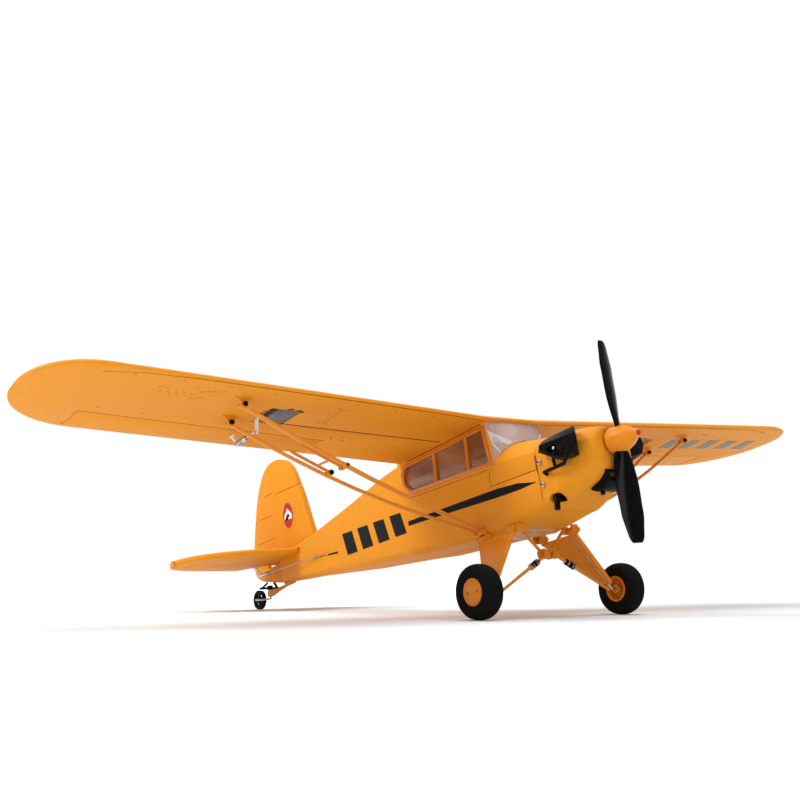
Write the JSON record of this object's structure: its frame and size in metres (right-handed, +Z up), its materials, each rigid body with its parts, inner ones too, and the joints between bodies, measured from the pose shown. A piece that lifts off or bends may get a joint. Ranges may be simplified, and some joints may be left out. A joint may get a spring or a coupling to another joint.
{
  "type": "rc foam airplane",
  "caption": "High-wing, strut-braced foam model airplane standing on its tail-wheel gear, with moving control surfaces, their linkages, spinning propeller and wheels.",
  "frame": {"origin": "on the ground, under the centre of the bounding box", "axes": "+X to the airplane's left wing tip, +Y to the tail, +Z up; the nose points to -Y and the airplane stands on its three wheels, nose up"},
  "size_m": [0.6378, 0.4259, 0.1671],
  "materials": {
    "yellow_foam": "fine moulded foam bead texture, satin",
    "orange_plastic": "moulded plastic, slightly glossy",
    "tyre_foam": "closed-cell foam, matte",
    "black_plastic": "moulded plastic, semi-gloss",
    "white_nylon": "satin nylon",
    "clear_sheet": "clear vacuum-formed sheet",
    "tinted_sheet": "smoked glossy sheet",
    "steel": "bright wire",
    "motor_metal": "anodised",
    "servo_case": "grey case",
    "red_lead": "insulated wire",
    "green_board": "circuit board with parts",
    "battery_wrap": "shrink wrap",
    "carbon": "pultruded rod"
  },
  "bodies": {
    "airframe": {"fuselage_left": "yellow_foam", "fuselage_right": "yellow_foam", "nose_cowl": "yellow_foam", "canopy_deck": "yellow_foam", "windshield": "clear_sheet", "window_frames": "orange_plastic", "window_panes": "tinted_sheet", "motor_mount": "black_plastic", "motor_stator": "motor_metal", "flight_battery": "battery_wrap", "control_board": "green_board", "dummy_engines": "black_plastic", "air_scoop": "black_plastic", "screws": "steel", "wing_left": "yellow_foam", "wing_right": "yellow_foam", "wing_spar": "carbon", "servos": "servo_case", "servo_leads": "red_lead", "strut_brackets": "orange_plastic", "lift_struts": "orange_plastic", "fin": "yellow_foam", "stabilizer": "yellow_foam", "gear_centre_frame": "orange_plastic", "tailwheel_bracket": "orange_plastic", "pushrod_guides": "orange_plastic"},
    "propeller": {"propeller": "black_plastic", "spinner": "orange_plastic", "motor_bell": "motor_metal"},
    "elevator": {"elevator": "yellow_foam", "elevator_horn": "white_nylon"},
    "elevator_arm": {"elevator_arm": "white_nylon"},
    "elevator_rod": {"elevator_rod": "steel"},
    "rudder": {"rudder": "yellow_foam", "rudder_horn": "white_nylon"},
    "rudder_arm": {"rudder_arm": "white_nylon"},
    "rudder_rod": {"rudder_rod": "steel"},
    "tail_fork": {"tail_fork": "steel"},
    "tail_wheel": {"tail_wheel": "black_plastic"},
    "battery_hatch": {"battery_hatch": "orange_plastic"},
    "aileron_right": {"aileron_right": "yellow_foam", "aileron_horn_right": "white_nylon"},
    "aileron_arm_right": {"aileron_arm_right": "white_nylon"},
    "aileron_rod_right": {"aileron_rod_right": "steel"},
    "aileron_left": {"aileron_left": "yellow_foam", "aileron_horn_left": "white_nylon"},
    "aileron_arm_left": {"aileron_arm_left": "white_nylon"},
    "aileron_rod_left": {"aileron_rod_left": "steel"},
    "gear_leg_left": {"gear_leg_left": "orange_plastic", "gear_wire_left": "steel"},
    "wheel_left": {"tyre_left": "tyre_foam", "wheel_hub_left": "orange_plastic"},
    "shock_strut_left": {"shock_strut_left": "orange_plastic"},
    "jury_strut_left": {"jury_strut_left": "orange_plastic"},
    "gear_leg_right": {"gear_leg_right": "orange_plastic", "gear_wire_right": "steel"},
    "wheel_right": {"tyre_right": "tyre_foam", "wheel_hub_right": "orange_plastic"},
    "shock_strut_right": {"shock_strut_right": "orange_plastic"},
    "jury_strut_right": {"jury_strut_right": "orange_plastic"}
  },
  "joints": [
    {"name": "prop_spin", "type": "hinge", "parent": "airframe", "child": "propeller", "pos_m": [0, -0.1966, 0.10546], "axis": [0, 0.9816, -0.1908], "continuous": true},
    {"name": "aileron_right_hinge", "type": "hinge", "parent": "airframe", "child": "aileron_right", "pos_m": [-0.1878, -0.03661, 0.11909], "axis": [-0.9988, 0.0092, 0.0471], "range_deg": [-20, 20]},
    {"name": "aileron_right_servo", "type": "hinge", "parent": "airframe", "child": "aileron_arm_right", "pos_m": [-0.16677, -0.05854, 0.12353], "axis": [-0.9988, 0.0092, 0.0471], "range_deg": [-20, 20]},
    {"name": "aileron_right_link", "type": "hinge", "parent": "aileron_arm_right", "child": "aileron_rod_right", "pos_m": [-0.16726, -0.05937, 0.1132], "axis": [-0.9988, 0.0092, 0.0471], "range_deg": [-20, 20]},
    {"name": "aileron_left_hinge", "type": "hinge", "parent": "airframe", "child": "aileron_left", "pos_m": [0.1878, -0.03661, 0.11909], "axis": [0.9988, 0.0092, 0.0471], "range_deg": [-20, 20]},
    {"name": "aileron_left_servo", "type": "hinge", "parent": "airframe", "child": "aileron_arm_left", "pos_m": [0.16677, -0.05854, 0.12353], "axis": [0.9988, 0.0092, 0.0471], "range_deg": [-20, 20]},
    {"name": "aileron_left_link", "type": "hinge", "parent": "aileron_arm_left", "child": "aileron_rod_left", "pos_m": [0.16726, -0.05937, 0.1132], "axis": [0.9988, 0.0092, 0.0471], "range_deg": [-20, 20]},
    {"name": "elevator_hinge", "type": "hinge", "parent": "airframe", "child": "elevator", "pos_m": [0, 0.18549, 0.03771], "axis": [1, 0, 0], "range_deg": [-20, 20]},
    {"name": "elevator_servo", "type": "hinge", "parent": "airframe", "child": "elevator_arm", "pos_m": [-0.0113, 0.00981, 0.06941], "axis": [1, 0, 0], "range_deg": [-20, 20]},
    {"name": "elevator_link", "type": "hinge", "parent": "elevator_arm", "child": "elevator_rod", "pos_m": [-0.0113, 0.00636, 0.05949], "axis": [1, 0, 0], "range_deg": [-20, 20]},
    {"name": "rudder_hinge", "type": "hinge", "parent": "airframe", "child": "rudder", "pos_m": [0, 0.17443, 0.01959], "axis": [0, 0.072, 0.9974], "range_deg": [-22, 22]},
    {"name": "rudder_servo", "type": "hinge", "parent": "airframe", "child": "rudder_arm", "pos_m": [0.0019, 0.02822, 0.05667], "axis": [0, 0.072, 0.9974], "range_deg": [-22, 22]},
    {"name": "rudder_link", "type": "hinge", "parent": "rudder_arm", "child": "rudder_rod", "pos_m": [0.0125, 0.02626, 0.05705], "axis": [0, 0.072, 0.9974], "range_deg": [-22, 22]},
    {"name": "tail_fork_steer", "type": "hinge", "parent": "airframe", "child": "tail_fork", "pos_m": [0, 0.1906, 0.02205], "axis": [0, 0.1908, 0.9816], "range_deg": [-22, 22]},
    {"name": "tail_wheel_spin", "type": "hinge", "parent": "tail_fork", "child": "tail_wheel", "pos_m": [0, 0.20525, 0.0078], "axis": [1, 0, 0], "continuous": true},
    {"name": "gear_leg_left_flex", "type": "hinge", "parent": "airframe", "child": "gear_leg_left", "pos_m": [0.0262, -0.13337, 0.05446], "axis": [0, -0.9816, 0.1908], "range_deg": [0, 3], "stiffness_Nm_per_rad": 0.3, "springref_deg": -6.88},
    {"name": "shock_strut_left_pivot", "type": "hinge", "parent": "airframe", "child": "shock_strut_left", "pos_m": [0.0042, -0.1365, 0.03836], "axis": [0, -0.9816, 0.1908], "range_deg": [0, 2.4]},
    {"name": "wheel_left_spin", "type": "hinge", "parent": "gear_leg_left", "child": "wheel_left", "pos_m": [0.0616, -0.13828, 0.0166], "axis": [1, 0, 0], "continuous": true},
    {"name": "jury_strut_left_swing", "type": "hinge", "parent": "airframe", "child": "jury_strut_left", "pos_m": [0.12619, -0.09258, 0.08957], "axis": [0, -0.9816, 0.1908], "range_deg": [0, 65]},
    {"name": "gear_leg_right_flex", "type": "hinge", "parent": "airframe", "child": "gear_leg_right", "pos_m": [-0.0262, -0.13337, 0.05446], "axis": [0, 0.9816, -0.1908], "range_deg": [0, 3], "stiffness_Nm_per_rad": 0.3, "springref_deg": -6.88},
    {"name": "shock_strut_right_pivot", "type": "hinge", "parent": "airframe", "child": "shock_strut_right", "pos_m": [-0.0042, -0.1365, 0.03836], "axis": [0, 0.9816, -0.1908], "range_deg": [0, 2.4]},
    {"name": "wheel_right_spin", "type": "hinge", "parent": "gear_leg_right", "child": "wheel_right", "pos_m": [-0.0616, -0.13828, 0.0166], "axis": [1, 0, 0], "continuous": true},
    {"name": "jury_strut_right_swing", "type": "hinge", "parent": "airframe", "child": "jury_strut_right", "pos_m": [-0.12498, -0.09204, 0.09234], "axis": [0, 0.9816, -0.1908], "range_deg": [0, 65]},
    {"name": "battery_hatch_hinge", "type": "hinge", "parent": "airframe", "child": "battery_hatch", "pos_m": [0, -0.12651, 0.05618], "axis": [-1, 0, 0], "range_deg": [0, 70]}
  ],
  "couplings": [
    {"joint": "aileron_right_servo", "follows": "aileron_right_hinge", "ratio": 1},
    {"joint": "aileron_right_link", "follows": "aileron_right_hinge", "ratio": -1},
    {"joint": "aileron_left_hinge", "follows": "aileron_right_hinge", "ratio": 1},
    {"joint": "aileron_left_servo", "follows": "aileron_right_hinge", "ratio": 1},
    {"joint": "aileron_left_link", "follows": "aileron_right_hinge", "ratio": -1},
    {"joint": "elevator_servo", "follows": "elevator_hinge", "ratio": 1},
    {"joint": "elevator_link", "follows": "elevator_hinge", "ratio": -1},
    {"joint": "rudder_servo", "follows": "rudder_hinge", "ratio": 1},
    {"joint": "rudder_link", "follows": "rudder_hinge", "ratio": -1},
    {"joint": "tail_fork_steer", "follows": "rudder_hinge", "ratio": 1},
    {"joint": "shock_strut_left_pivot", "follows": "gear_leg_left_flex", "ratio": 0.756},
    {"joint": "shock_strut_right_pivot", "follows": "gear_leg_right_flex", "ratio": 0.756}
  ]
}
